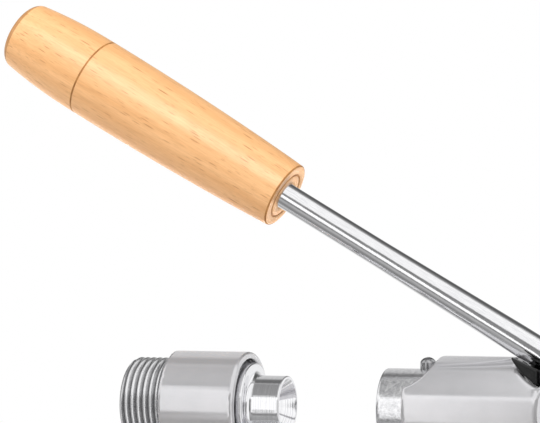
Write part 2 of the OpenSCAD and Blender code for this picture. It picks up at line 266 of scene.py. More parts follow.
def dark_line_colour():
    """A dark brown line colour, used in the turned groove and on the eased front edge."""
    g = Graph("dark_groove_line", roughness=0.55)
    v = g.coords((1, 1, 1))
    g.colour(g.ramp(g.noise(v, 0.25, 3), [(0.3, (0.30, 0.11, 0.02)), (0.7, (0.52, 0.24, 0.06))]))
    return g.mat


def satin_casting():
    """Silver casting: low-contrast satin, faint cloudiness and a very fine skin."""
    g = Graph("satin_casting", metallic=0.66)
    v = g.coords()
    cloud = g.noise(v, 0.07, 4, 0.6)
    g.colour(g.ramp(cloud, [(0.3, (0.585, 0.585, 0.60)), (0.7, (0.63, 0.625, 0.64))]))
    g.roughness(g.ramp(g.noise(v, 0.35, 4, 0.7), [(0.3, 0.11), (0.75, 0.17)]))
    g.bump(g.noise(v, 1.1, 4, 0.7), 0.006)
    return g.mat


def chrome_rod():
    """Bright chrome over a drawn rod: hard reflections, broken by fine lengthwise drawing marks."""
    g = Graph("chrome_rod", metallic=1.0)
    long = g.coords((1, 1, 0.10))
    grain = g.noise(long, 2.2, 4, 0.7)
    g.colour(g.ramp(grain, [(0.25, (0.74, 0.74, 0.76)), (0.6, (0.90, 0.90, 0.91))]))
    g.roughness(g.ramp(grain, [(0.35, 0.04), (0.8, 0.16)]))
    g.bump(g.noise(g.coords((1, 1, 0.55)), 1.6, 3, 0.6), 0.012)
    return g.mat


def cast_chrome():
    """Chrome over a granular cast skin."""
    g = Graph("cast_chrome", metallic=1.0)
    v = g.coords()
    lump = g.noise(v, 0.55, 4, 0.62, 0.6)
    g.colour(g.ramp(lump, [(0.3, (0.76, 0.76, 0.78)), (0.7, (0.93, 0.93, 0.94))]))
    g.roughness(g.ramp(g.noise(v, 0.8, 3), [(0.3, 0.12), (0.7, 0.22)]))
    g.bump(lump, 0.05)
    return g.mat


def thread_steel():
    """Turned steel thread: painted highlight on the crests and painted shade in the roots, set by radius, with
    random tone and fine turning lines.
    """
    g = Graph("thread_steel", metallic=1.0)
    v = g.coords()
    split = g.node("ShaderNodeSeparateXYZ")
    g.link(v, split.inputs[0])
    radial = g.math("SQRT", g.math("ADD", g.math("POWER", split.outputs["X"], 2.0),
                                   g.math("POWER", split.outputs["Y"], 2.0)))
    # Painted shade and highlight: the colour goes from dark at the root radius to bright at the crest radius;
    # the dirt noise adds random tone on top.
    depth = g.node("ShaderNodeMapRange")
    depth.inputs["From Min"].default_value = THREAD_R - 1.25
    depth.inputs["From Max"].default_value = THREAD_R
    g.link(radial, depth.inputs["Value"])
    dirt = g.noise(v, 0.6, 4, 0.7)
    level = g.math("ADD", depth.outputs["Result"], g.math("MULTIPLY", g.math("SUBTRACT", dirt, 0.5), 0.25))
    g.colour(g.ramp(level, [(0.02, (0.24, 0.24, 0.245)), (0.35, (0.56, 0.56, 0.57)),
                            (0.95, (0.86, 0.86, 0.87))]))
    g.roughness(g.ramp(dirt, [(0.3, 0.20), (0.7, 0.30)]))
    g.bump(g.noise(g.coords((0.15, 0.15, 1)), 2.5, 3), 0.005)
    return g.mat


def polished_cup():
    """Mirror-polished turned steel, with faint turning rings."""
    g = Graph("polished_cup", metallic=1.0)
    split = g.node("ShaderNodeSeparateXYZ")
    g.link(g.coords(), split.inputs[0])
    rings = g.node("ShaderNodeTexNoise", noise_dimensions="1D")
    rings.inputs["Scale"].default_value = 3.0
    rings.inputs["Detail"].default_value = 3.0
    g.link(split.outputs["Z"], rings.inputs["W"])
    g.colour(g.ramp(rings.outputs["Fac"], [(0.3, (0.76, 0.76, 0.78)), (0.7, (0.90, 0.90, 0.91))]))
    g.roughness(g.ramp(g.noise(g.coords(), 0.5, 3), [(0.3, 0.05), (0.75, 0.13)]))
    g.bump(rings.outputs["Fac"], 0.010)
    return g.mat


def plain_metal(name, dark, light, rough, grain=1.2, skin=0.008):
    """Small hardware: turned or stamped metal with slight tarnish."""
    g = Graph(name, metallic=1.0)
    v = g.coords()
    tarnish = g.noise(v, 0.4, 4, 0.65)
    g.colour(g.ramp(tarnish, [(0.3, dark), (0.7, light)]))
    g.roughness(g.ramp(g.noise(v, grain, 3), [(0.3, rough), (0.7, rough + 0.14)]))
    g.bump(g.noise(v, grain, 3), skin)
    return g.mat


def black_fork():
    """Semi-gloss black over a casting, with orange peel and slight wear."""
    g = Graph("black_fork", roughness=0.3, coat_weight=0.12, coat_roughness=0.2, specular_ior_level=0.3)
    v = g.coords()
    peel = g.noise(v, 0.9, 3, 0.5)
    g.colour(g.ramp(g.noise(v, 0.2, 4), [(0.3, 0.006), (0.75, 0.016)]))
    g.roughness(g.ramp(peel, [(0.3, 0.24), (0.7, 0.38)]))
    g.bump(peel, 0.03)
    return g.mat


def rubber():
    """Matt black rubber with a fine speckle."""
    g = Graph("rubber", specular_ior_level=0.3)
    v = g.coords()
    speck = g.noise(v, 1.4, 4, 0.7)
    g.colour(g.ramp(speck, [(0.3, 0.012), (0.7, 0.03)]))
    g.roughness(g.ramp(speck, [(0.3, 0.65), (0.7, 0.85)]))
    g.bump(speck, 0.05)
    return g.mat


def studio_floor():
    """Almost white, matt."""
    g = Graph("studio_floor", roughness=0.9, specular_ior_level=0.1)
    v = g.coords()
    g.colour(g.ramp(g.noise(v, 0.004, 2), [(0.3, 0.80), (0.7, 0.84)]))
    return g.mat


PALE_BEECH = (0.86, 0.50, 0.235)
DEEP_BEECH = (0.68, 0.33, 0.12)
BEECH_HANDLE = beech("beech_handle", "Z", PALE_BEECH, DEEP_BEECH, 0.30)
BEECH_BASE = beech("beech_base", "X", (0.78, 0.52, 0.28), (0.58, 0.30, 0.115), 0.15)
GROOVE = dark_line_colour()
END_GRAIN = beech("beech_end_grain", "Z", (0.52, 0.27, 0.105), (0.36, 0.165, 0.055), 0.1)
SATIN = satin_casting()
CHROME = chrome_rod()
CAST_CHROME = cast_chrome()
THREAD = thread_steel()
CUP = polished_cup()
SCREW_STEEL = plain_metal("screw_steel", (0.40, 0.40, 0.41), (0.62, 0.62, 0.63), 0.22)
STOP_STEEL = plain_metal("stop_screw_steel", (0.20, 0.20, 0.21), (0.60, 0.60, 0.61), 0.20, 0.6, 0.02)
PIN_STEEL = plain_metal("pin_steel", (0.50, 0.50, 0.51), (0.68, 0.68, 0.69), 0.14, 2.0, 0.004)
SPRING_STEEL = plain_metal("spring_steel", (0.02, 0.02, 0.022), (0.05, 0.05, 0.055), 0.32)
BRONZE = plain_metal("bronze", (0.42, 0.24, 0.09), (0.62, 0.40, 0.17), 0.24)
BRASS = plain_metal("brass", (0.62, 0.42, 0.16), (0.78, 0.57, 0.26), 0.2)
BLACK = black_fork()
RUBBER = rubber()

# ---- meshes ----------------------------------------------------------------------------


def make_object(name, verts, faces, material, matrix=Matrix.Identity(4), sharp=None):
    """A smooth-shaded object from vertices in millimetres, in the frame that matrix gives."""
    mesh = bpy.data.meshes.new(name)
    mesh.from_pydata([tuple(c * MM for c in v) for v in verts], [], faces)
    mesh.validate()
    mesh.shade_smooth()
    if sharp is not None:
        mesh.set_sharp_from_angle(angle=math.radians(sharp))
    mesh.materials.append(material)
    obj = bpy.data.objects.new(name, mesh)
    bpy.context.scene.collection.objects.link(obj)
    obj.matrix_world = matrix
    return obj


def rounded_path(points, arc_steps=5):
    """Corner points (t, r, corner radius) as a path of (t, r) with round corners."""
    path = []
    for i, (t, r, corner) in enumerate(points):
        here = Vector((t, r))
        if corner == 0 or i in (0, len(points) - 1):
            path.append((t, r))
            continue
        back = Vector(points[i - 1][:2]) - here
        ahead = Vector(points[i + 1][:2]) - here
        half = back.angle(ahead) / 2
        reach = corner / math.tan(half)
        centre = here + (back.normalized() + ahead.normalized()).normalized() * corner / math.sin(half)
        start = here + back.normalized() * reach - centre
        turn = start.angle_signed(here + ahead.normalized() * reach - centre)
        for k in range(arc_steps + 1):
            spoke = start.copy()
            spoke.rotate(Matrix.Rotation(-turn * k / arc_steps, 2))
            path.append(tuple(centre + spoke))
    return path


def stepped(path, step):
    """The same path with its long runs split into parts of about that length."""
    fine = []
    for (t0, r0), (t1, r1) in zip(path, path[1:]):
        steps = max(1, int(math.hypot(t1 - t0, r1 - r0) / step))
        fine += [(t0 + (t1 - t0) * i / steps, r0 + (r1 - r0) * i / steps) for i in range(steps)]
    return fine + [path[-1]]


def lathe(name, path, material, matrix, segments=96, sharp=None):
    """A turned piece: path is (distance along Z, radius), closed where the radius is zero."""
    verts, faces, rings = [], [], []
    for t, r in path:
        if r < 1e-6:
            rings.append([len(verts)] * segments)
            verts.append((0, 0, t))
        else:
            rings.append(list(range(len(verts), len(verts) + segments)))
            for k in range(segments):
                a = 2 * math.pi * k / segments
                verts.append((r * math.cos(a), r * math.sin(a), t))
    for low, high in zip(rings, rings[1:]):
        for k in range(segments):
            n = (k + 1) % segments
            quad = [low[k], low[n], high[n], high[k]]
            quad = [v for i, v in enumerate(quad) if v not in quad[:i]]
            if len(quad) > 2:
                faces.append(quad)
    return make_object(name, verts, faces, material, matrix, sharp)


AXIS_FRAME = Matrix.Translation((0, 0, AXIS_Z * MM)) @ Matrix.Rotation(math.pi / 2, 4, "Y")


def surface_from(function, lo, hi, cell):
    """Meshes where a signed distance function is zero, on a grid of that cell size, as vertices and quads."""
    lo, hi = np.array(lo) - 2 * cell, np.array(hi) + 2 * cell
    counts = np.ceil((hi - lo) / cell).astype(int) + 1
    axes = [lo[i] + cell * np.arange(counts[i]) for i in range(3)]
    values = function(*np.meshgrid(*axes, indexing="ij", sparse=True))
    inside = values < 0
    shape = tuple(counts - 1)
    corners = [(i, j, k) for i in (0, 1) for j in (0, 1) for k in (0, 1)]

    def corner(array, c):
        return array[c[0]:shape[0] + c[0], c[1]:shape[1] + c[1], c[2]:shape[2] + c[2]]

    total = sum(corner(inside, c).astype(np.int8) for c in corners)
    active = (total > 0) & (total < 8)
    cells = np.argwhere(active)
    index = np.full(shape, -1)
    index[active] = np.arange(len(cells))
    spots, hits = np.zeros((len(cells), 3)), np.zeros(len(cells))
    for a in corners:
        for axis in range(3):
            if a[axis]:
                continue
            b = tuple(c + (i == axis) for i, c in enumerate(a))
            fa, fb = corner(values, a)[active], corner(values, b)[active]
            cut = (fa < 0) != (fb < 0)
            t = np.where(cut, fa / np.where(cut, fa - fb, 1), 0)
            place = np.tile(np.array(a, float), (len(cells), 1))
            place[:, axis] = t
            spots[cut] += place[cut]
            hits[cut] += 1
    points = lo + (cells + spots / hits[:, None]) * cell
    step = 0.02
    for _ in range(4):
        f = function(*points.T)
        slope = np.stack([(function(*(points + d).T) - function(*(points - d).T)) / (2 * step)
                          for d in np.eye(3) * step], 1)
        move = slope * (f / np.maximum((slope ** 2).sum(1), 0.25))[:, None]
        length = np.linalg.norm(move, axis=1, keepdims=True)
        points -= move * np.minimum(1, 0.4 * cell / np.maximum(length, 1e-9))
    quads = []
    for axis in range(3):
        b, c = (axis + 1) % 3, (axis + 2) % 3
        first = [slice(None)] * 3
        second = [slice(None)] * 3
        first[axis], second[axis] = slice(0, -1), slice(1, None)
        changed = inside[tuple(first)] != inside[tuple(second)]
        edges = np.argwhere(changed)
        within = (edges[:, b] > 0) & (edges[:, c] > 0) & (edges[:, b] < shape[b]) & (edges[:, c] < shape[c])
        edges = edges[within]
        starts_inside = inside[tuple(edges.T)]
        ring = []
        for db, dc in ((-1, -1), (0, -1), (0, 0), (-1, 0)):
            at = edges.copy()
            at[:, b] += db
            at[:, c] += dc
            ring.append(index[tuple(at.T)])
        ring = np.stack(ring, 1)
        ring[~starts_inside] = ring[~starts_inside][:, ::-1]
        quads.append(ring)
    return points, np.concatenate(quads).tolist()


def sculpted(name, function, lo, hi, cell, material):
    """A piece with rounded edges and fillets, from its signed distance function."""
    points, quads = surface_from(function, lo, hi, cell)
    return make_object(name, points.tolist(), quads, material)


# Signed distances, with round joins between them
def join(a, b, fillet=0.0):
    """Union of two solids, with a concave fillet of that radius where they meet."""
    if fillet == 0:
        return np.minimum(a, b)
    u, v = np.maximum(fillet - a, 0), np.maximum(fillet - b, 0)
    return np.maximum(fillet, np.minimum(a, b)) - np.hypot(u, v)


def keep(a, b, edge=0.0):
    """Common part of two solids, with an edge rounded to that radius where they meet."""
    if edge == 0:
        return np.maximum(a, b)
    u, v = np.maximum(edge + a, 0), np.maximum(edge + b, 0)
    return np.minimum(-edge, np.maximum(a, b)) + np.hypot(u, v)


def cut(a, b, edge=0.0):
    """The first solid without the second."""
    return keep(a, -b, edge)


def slab(x, x0, x1):
    """Everything between two planes."""
    return np.abs(x - (x0 + x1) / 2) - (x1 - x0) / 2


def disc(x, z, centre_x, centre_z, r):
    """A round bar across the object."""
    return np.hypot(x - centre_x, z - centre_z) - r


def half_plane(x, z, start, end):
    """Distance to the left of the line from start to end, negative on its right."""
    dx, dz = end[0] - start[0], end[1] - start[1]
    size = math.hypot(dx, dz)
    return ((z - start[1]) * dx - (x - start[0]) * dz) / size


def convex(x, z, corners):
    """A convex outline with its corners given clockwise."""
    sides = [half_plane(x, z, a, b) for a, b in zip(corners, corners[1:] + corners[:1])]
    outline = sides[0]
    for side in sides[1:]:
        outline = np.maximum(outline, side)
    return outline


def rounded_rectangle(x, y, x0, x1, y0, y1, r):
    qx, qy = slab(x, x0, x1) + r, slab(y, y0, y1) + r
    return np.hypot(np.maximum(qx, 0), np.maximum(qy, 0)) + np.minimum(np.maximum(qx, qy), 0) - r


# ---- frame casting ---------------------------------------------------------------------

BOLT_X = (BED_LO[0] + 11, BED_HI[0] - 11)
BOLT_Y = 24


def bolt_holes(x, y, r):
    """The four holes that fix the casting to the board."""
    return np.minimum(*(disc(x, np.abs(y), bx, BOLT_Y, r) for bx in BOLT_X))


def pedestal(x, y, z, x0, x1):
    """A wall from the bed up to the ram's axis."""
    block = keep(slab(x, x0, x1), np.abs(y) - 9, 2.5)
    return keep(block, slab(z, BED_LO[2] + 2, AXIS_Z))


def casting(x, y, z):
    """Bed, collar, ram guide with its two saddle cuts, and the ears that hold the pivot."""
    across = np.hypot(y, z - AXIS_Z)
    bed = rounded_rectangle(x, y, BED_LO[0], BED_HI[0], BED_LO[1], BED_HI[1], 12)
    bed = keep(bed, slab(z, BED_LO[2], BED_TOP), 1.6)
    collar = keep(keep(across - COLLAR_R, COLLAR_X0 - x, 0.4), x - COLLAR_X1, 1.1)
    collar = join(collar, pedestal(x, y, z, COLLAR_X0 + 2, COLLAR_X1 - 2), 3)
    guide = keep(keep(across - GUIDE_R, GUIDE_X0 - x, 0.6), x - GUIDE_X1, 2.2)
    guide = join(guide, pedestal(x, y, z, GUIDE_X0 + 3, GUIDE_X1 - 3), 3)
    guide = cut(guide, disc(x, z, *FRONT_CUT), 0.5)
    guide = cut(guide, disc(x, z, *REAR_CUT), 0.5)
    ear = convex(x, z, [(GUIDE_X1 - 2, BED_LO[2] + 1), (GUIDE_X1 - 2, AXIS_Z + 6),
                        (PIVOT_X - EAR_R * 0.866, PIVOT_Z + EAR_R * 0.5),
                        (PIVOT_X + EAR_R * 0.866, PIVOT_Z + EAR_R * 0.5),
                        (PIVOT_X + EAR_R + 7, BED_LO[2] + 1)])
    ear = np.minimum(ear, disc(x, z, PIVOT_X, PIVOT_Z, EAR_R))
    ear = keep(ear, slab(np.abs(y), EAR_IN, EAR_OUT), 1.2)
    solid = join(join(bed, collar, 7), guide, 7)
    solid = join(solid, ear, 2.5)
    solid = cut(solid, keep(across - THREAD_R - 0.05, x - (COLLAR_X1 + 20)), 0.7)
    solid = cut(solid, keep(across - RAM_R - 0.05, slab(x, GUIDE_X0 - 9, GUIDE_X1 + 1)), 0.5)
    solid = cut(solid, disc(x, z, PIVOT_X, PIVOT_Z, PIN_R + PIN_FIT), 0.4)
    return cut(solid, bolt_holes(x, y, BOLT_HOLE_R), 0.3)


# ---- lever -----------------------------------------------------------------------------


def fork(x, y, z):
    """The black fork: rod socket, cheeks in the rear saddle, pivot and the arm to the drive pin."""
    px, pz = x - PIVOT_X, z - PIVOT_Z
    arm_x, arm_z = DRIVE_X - PIVOT_X, DRIVE_Z - PIVOT_Z
    t = np.clip((px * arm_x + pz * arm_z) / (arm_x ** 2 + arm_z ** 2), 0, 1)
    arm = np.hypot(px - t * arm_x, pz - t * arm_z) - 7.5
    pivot = np.hypot(px, pz) - 9
    saddle = disc(x, z, REAR_CUT[0], REAR_CUT[1], REAR_CUT[2] - SADDLE_ROOM)
    cheek = convex(px, pz, [(-28, -3.7), (-28, 3.7), (-14.7, -2.5), (-10, -3.2), (-10, -3.7)])
    socket = convex(px, pz, [(-19.7, -9.6), (-19.7, -5), (-14.7, -2.5), (-8.6, 7.8), (0, 9), (0, -9),
                             (-14, -9.6)])
    body = keep(join(cheek, socket, 0.6), saddle, 0.6)
    outline = join(join(body, pivot, 2), arm, 2)
    solid = keep(outline, np.abs(y) - FORK_OUT, 1.0)
    outer = keep(convex(px, pz, [(-28, -14), (-28, 3.7), (-15.5, -2.1), (-15.5, -14)]), saddle, 0.6)
    solid = join(solid, keep(outer, slab(np.abs(y), FORK_OUT - 0.5, CHEEK_OUT), 0.7))
    room = np.abs(y) - FORK_IN
    solid = cut(solid, keep(room, PIVOT_X - 6.5 - x), 0.5)
    solid = cut(solid, keep(room, z - (PIVOT_Z - 6.8)), 0.5)
    up = (x - ROD_END.x / MM) * LEVER_Z.x + (z - ROD_END.z / MM) * LEVER_Z.z
    side = (x - ROD_END.x / MM) * LEVER_X.x + (z - ROD_END.z / MM) * LEVER_X.z
    solid = cut(solid, keep(room, -up), 0.4)
    solid = cut(solid, keep(np.hypot(side, y) - STUD_BORE_R, -up - SPIGOT - 0.2))
    solid = cut(solid, np.hypot(side, up + SPIGOT / 2) - 1.53)
    solid = cut(solid, np.hypot(px, pz) - PIN_R - BUSH_ROOM, 0.3)
    return cut(solid, disc(x, z, DRIVE_X, DRIVE_Z, PIN_R + PIN_FIT), 0.3)


GROOVE_AT = 0.714 * HANDLE_LEN
GRIP_BUTT_R = 0.42 * 2 * HANDLE_R
GRIP_FRONT_R = 0.41 * 2 * HANDLE_R


def handle_radius(t):
    """Radius of the grip at a distance from its front face."""
    if t < GROOVE_AT:
        rise = (t / GROOVE_AT) ** 0.85
        return GRIP_FRONT_R + (HANDLE_R - GRIP_FRONT_R) * math.sin(math.pi / 2 * rise)
    fall = ((t - GROOVE_AT) / (HANDLE_LEN - GROOVE_AT)) ** 1.3
    return GRIP_BUTT_R + (HANDLE_R - GRIP_BUTT_R) * math.cos(math.pi / 2 * fall)


def make_handle():
    """The turned grip: eased front edge, cut groove, round butt."""
    groove_depth, groove_half = 0.5, 0.38
    nose, butt_round, steps = 0.6, 4, 90
    even = [nose + (HANDLE_LEN - butt_round - nose) * i / steps for i in range(steps + 1)]
    at_groove = [GROOVE_AT + k * groove_half * s for k in (1.0, 1.25) for s in (-1, 1)] + [GROOVE_AT]
    places = sorted([t for t in even if abs(t - GROOVE_AT) > 1.3 * groove_half] + at_groove)
    front_r = handle_radius(nose)
    path = [(0, ROD_R + 0.1), (0, front_r - 4.4), (0.35, front_r - 4.1), (0.35, front_r - 3.8),
            (0, front_r - 3.5)]
    path += [(nose * (1 - math.cos(a)), front_r - nose + nose * math.sin(a))
             for a in [math.pi / 2 * i / 6 for i in range(6)]]
    for t in places:
        near = abs(t - GROOVE_AT)
        sunk = groove_depth * max(0.0, 1 - near / groove_half) ** 0.7 if near < groove_half else 0.0
        path.append((t, handle_radius(t) - sunk))
    butt_r = handle_radius(HANDLE_LEN - butt_round) - butt_round
    path += [(HANDLE_LEN - butt_round + butt_round * math.sin(a), butt_r + butt_round * math.cos(a))
             for a in [math.pi / 2 * i / 10 for i in range(1, 11)]]
    path += [(HANDLE_LEN, butt_r * f) for f in (0.75, 0.5, 0.25, 0)]
    hole = [(22, 0), (22, ROD_R + 0.1)]
    path = [(HANDLE_T0 + t, r) for t, r in hole + path]
    obj = lathe("turned_handle", path, BEECH_HANDLE, LEVER_FRAME, 128)
    obj.data.materials.append(GROOVE)
    obj.data.materials.append(END_GRAIN)
    for polygon in obj.data.polygons:
        t = polygon.center.z / MM - HANDLE_T0
        # The groove and the eased front edge take the dark line colour.
        if abs(t - GROOVE_AT) < groove_half or 0.02 < t < nose:
            polygon.material_index = 1
        if t > HANDLE_LEN - 0.75 * butt_round:
            polygon.material_index = 2
    return obj


def make_rod():
    """The rod: a slightly thicker lower end, a long taper, and the part inside the grip."""
    low_r = ROD_R + 0.6
    top = HANDLE_T0 + 12
    path = rounded_path([
        (-SPIGOT, 0, 0), (-SPIGOT, 4, 0.4), (0, 4, 0), (0, low_r, 0.6), (16, low_r, 0), (77, ROD_R, 0),
        (top, ROD_R, 0.5), (top, 4, 0), (top + 27, 4, 0.6), (top + 27, 0, 0)])
    return lathe("chromed_rod", stepped(path, 4), CHROME, LEVER_FRAME, 96, 50)


# ---- ram -------------------------------------------------------------------------------


TAIL_LO, TAIL_HI = box_mm("ram_tail")


def tail(x, y, z):
    """The ram's black rear half: a short barrel and a flat tongue with the drive pin's upright slot."""
    lo, hi = TAIL_LO, TAIL_HI
    across = np.hypot(y, z - AXIS_Z)
    barrel = keep(across - RAM_R, slab(x, lo[0], lo[0] + 8), 0.5)
    tongue = rounded_rectangle(x, z, lo[0] + 1, hi[0], AXIS_Z - 10.5, AXIS_Z + 10.5, 5)
    tongue = keep(tongue, np.abs(y) - 6, 0.8)
    solid = join(barrel, tongue, 1.5)
    half = PIN_R + PIN_PLAY
    slot_z0, slot_z1 = PIVOT_Z - 20 - PIN_R - 1, DRIVE_Z + PIN_R + 1
    slot = rounded_rectangle(x, z, DRIVE_X - half, DRIVE_X + half, slot_z0, slot_z1, 0.8)
    solid = cut(solid, slot, 0.4)
    return cut(solid, keep(across - STUD_BORE_R, x - lo[0] - 16.2))



def make_ram_head():
    """The chromed front half of the ram, with a conical dimple."""
    x0, x1 = HEAD_LO[0], HEAD_HI[0]
    path = rounded_path([(x0 + 7, 0, 0), (x0 + 7, 2, 0), (x0, 10.5, 0.5), (x0, RAM_R, 0.9),
                         (x1, RAM_R, 0.3), (x1, STUD_BORE_R, 0), (x1 - 15.2, STUD_BORE_R, 0),
                         (x1 - 15.2, 0, 0)])
    return lathe("cast_ram_head", stepped(path, 1.0), CAST_CHROME, AXIS_FRAME, 120, 50)


def make_stop_screw():
    """The small screw with a domed head that stands on the ram."""
    lo, hi = box_mm("ram_stop_screw")
    centre = Vector(((lo[0] + hi[0]) / 2, 0, 0)) * MM
    seat, r, dome = AXIS_Z + 14.2, (hi[0] - lo[0]) / 2, 3.3
    centre_z = hi[2] - dome
    low = math.asin((seat - centre_z) / dome)
    path = [(lo[2], 0), (lo[2], 2), (seat, 2)]
    path += [(centre_z + dome * math.sin(a), max(0, min(r, dome * math.cos(a))))
             for a in [low + (math.pi / 2 - low) * i / 16 for i in range(17)]]
    return lathe("domed_stop_screw", path, STOP_STEEL, Matrix.Translation(centre), 48, 40)


# ---- anvil -----------------------------------------------------------------------------


def make_anvil_screw():
    """The threaded plug: a true helix, chamfered at both ends, bored through and slotted at the back."""
    pitch, crest, depth = 2.5, THREAD_R, 1.25
    x0, x1 = SCREW_LO[0], SCREW_HI[0]
    length = x1 - x0
    segments, per_turn = 120, 10
    rows = int(length / pitch + 2) * per_turn
    bore, seat_r, seat_depth = 6.05, 9.0, 5.0

    def thread(phase):
        """Radius at a phase of the pitch: narrow rounded crest, V flanks, rounded root."""
        v = abs(2 * (phase % 1) - 1)
        return crest - depth * min(1, max(0, (v - 0.16) / 0.74))

    verts, faces = [], []
    for i in range(rows + 1):
        for k in range(segments):
            a = 2 * math.pi * k / segments
            t = (i / per_turn - 1) * pitch + pitch * k / segments
            clamped = min(max(t, 0), length)
            end = min(clamped, length - clamped)
            r = min(thread(i / per_turn), crest - 1.7 + 1.1 * end)
            verts.append((r * math.cos(a), r * math.sin(a), x0 + clamped))
        if i:
            for k in range(segments):
                n = (k + 1) % segments
                step = per_turn if n == 0 else 0
                low, high = (i - 1) * segments, i * segments
                if i + step > rows:
                    continue
                faces.append([low + k, (i - 1 + step) * segments + n, (i + step) * segments + n, high + k])
    obj = make_object("threaded_anvil_screw", verts, faces, THREAD, AXIS_FRAME)
    bm = bmesh.new()
    bm.from_mesh(obj.data)
    bmesh.ops.remove_doubles(bm, verts=bm.verts, dist=2e-6)
    bmesh.ops.dissolve_degenerate(bm, edges=bm.edges, dist=2e-6)
    seat = [(x0, seat_r), (x0 + seat_depth, seat_r), (x0 + seat_depth, bore)]
    for end_x, rings in ((x0, seat), (x1, [(x1, bore)])):
        rim = [e for e in bm.edges if e.is_boundary and all(abs(v.co.z - end_x * MM) < 2e-5 for v in e.verts)]
        for z, r in rings:
            made = bmesh.ops.extrude_edge_only(bm, edges=rim)["geom"]
            rim = [e for e in made if isinstance(e, bmesh.types.BMEdge)]
            for v in {v for e in rim for v in e.verts}:
                away = Vector((v.co.x, v.co.y)).normalized() * r * MM
                v.co = (away.x, away.y, z * MM)
    left = [e for e in bm.edges if e.is_boundary]
    bmesh.ops.bridge_loops(bm, edges=left)
    bmesh.ops.recalc_face_normals(bm, faces=bm.faces)
    bm.to_mesh(obj.data)
    bm.free()
    obj.data.shade_smooth()
    obj.data.set_sharp_from_angle(angle=math.radians(52))
    corners = [(x, y, z) for x in (-2.5, 2.5) for y in (-20, 20) for z in (x0 - 1, x0 + 3)]
    sides = [[0, 1, 3, 2], [4, 6, 7, 5], [0, 4, 5, 1], [2, 3, 7, 6], [0, 2, 6, 4], [1, 5, 7, 3]]
    slot_frame = AXIS_FRAME @ Matrix.Rotation(math.radians(SLOT_TURN), 4, "Z")
    slot_block = make_object("slot_cutter", corners, sides, THREAD, slot_frame)
    subtract(obj, slot_block)
    return obj


def subtract(obj, cutter):
    modifier = obj.modifiers.new("cut", "BOOLEAN")
    modifier.operation = "DIFFERENCE"
    modifier.solver = "EXACT"
    modifier.object = cutter
    apply_modifiers(obj)
    bpy.data.objects.remove(cutter)


def apply_modifiers(obj):
    graph = bpy.context.evaluated_depsgraph_get()
    mesh = bpy.data.meshes.new_from_object(obj.evaluated_get(graph))
    obj.modifiers.clear()
    obj.data = mesh


def make_cup():
    """The swivelling cup: stem inside the screw, flange against it, cylinder with a conical recess."""
    r = 11.3
    flange_x0 = SCREW_HI[0] + 0.1
    flange_x1 = SCREW_HI[0] + 4.3
    flange_r = 16
    stem_x0 = CUP_LO[0]
    path = rounded_path([
        (stem_x0, 0, 0), (stem_x0, 5.2, 0.3), (stem_x0 + 2.3, 5.2, 0), (stem_x0 + 2.3, 6, 0),
        (flange_x0, 6, 0), (flange_x0, flange_r, 0.3), (flange_x1, flange_r, 0.7), (flange_x1, r, 2.1),
        (CUP_RIM, r, 0.5), (CUP_RIM, r - 1.1, 0.35), (CUP_RIM - 9.4, 2.4, 2.0), (CUP_RIM - 10, 0, 0)], 7)
    return lathe("polished_cup", stepped(path, 0.8), CUP, AXIS_FRAME, 120, 60)


# ---- base ------------------------------------------------------------------------------

FEET_LO, FEET_HI = box_mm("rubber_feet")
FOOT_R = 10.0
FOOT_X, FOOT_Y = FEET_HI[0] - FOOT_R, FEET_HI[1] - FOOT_R
BENCH_R = 2.75


def board(x, y, z):
    """The wooden base, with nut pockets below and bench holes at the feet."""
    solid = rounded_rectangle(x, y, BOARD_LO[0], BOARD_HI[0], BOARD_LO[1], BOARD_HI[1], 10)
    solid = keep(solid, slab(z, BOARD_LO[2], BOARD_HI[2]), 2.5)
    solid = cut(solid, bolt_holes(x, y, BOLT_HOLE_R))
    solid = cut(solid, keep(bolt_holes(x, y, 7.5), z - (BOARD_LO[2] + 6)), 0.4)
    return cut(solid, disc(np.abs(x), np.abs(y), FOOT_X, FOOT_Y, BENCH_R), 0.5)


def make_feet():
    """Four round rubber feet in one object, each with a hole for a bench screw."""
    height = FEET_HI[2] - FEET_LO[2]
    path = rounded_path([(1, BENCH_R, 0), (0, BENCH_R, 0.4), (0, 8.5, 1.0), (height, FOOT_R, 0.6),
                         (height, BENCH_R, 0.3), (1, BENCH_R, 0)])
    feet = []
    for sx in (-1, 1):
        for sy in (-1, 1):
            place = Matrix.Translation((sx * FOOT_X * MM, sy * FOOT_Y * MM, FEET_LO[2] * MM))
            feet.append(lathe("rubber_foot", path, RUBBER, place, 64, 50))
    return joined(feet, "round_rubber_feet")


def joined(objects, name):
    """Several objects of one material as one."""
    bm = bmesh.new()
    for obj in objects:
        obj.data.transform(obj.matrix_world)
        bm.from_mesh(obj.data)
    first = objects[0]
    mesh = bpy.data.meshes.new(name)
    bm.to_mesh(mesh)
    bm.free()
    for material in first.data.materials:
        mesh.materials.append(material)
    result = bpy.data.objects.new(name, mesh)
    bpy.context.scene.collection.objects.link(result)
    for obj in objects:
        bpy.data.objects.remove(obj)
    return result


# ---- putting it together ---------------------------------------------------------------


def place(piece, body, node, slot):
    """Hand a piece to the frame: what it moves with, and which CAD node it stands for, which is hidden; slot
    is not used.
    """
    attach(piece, body)
    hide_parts(node)


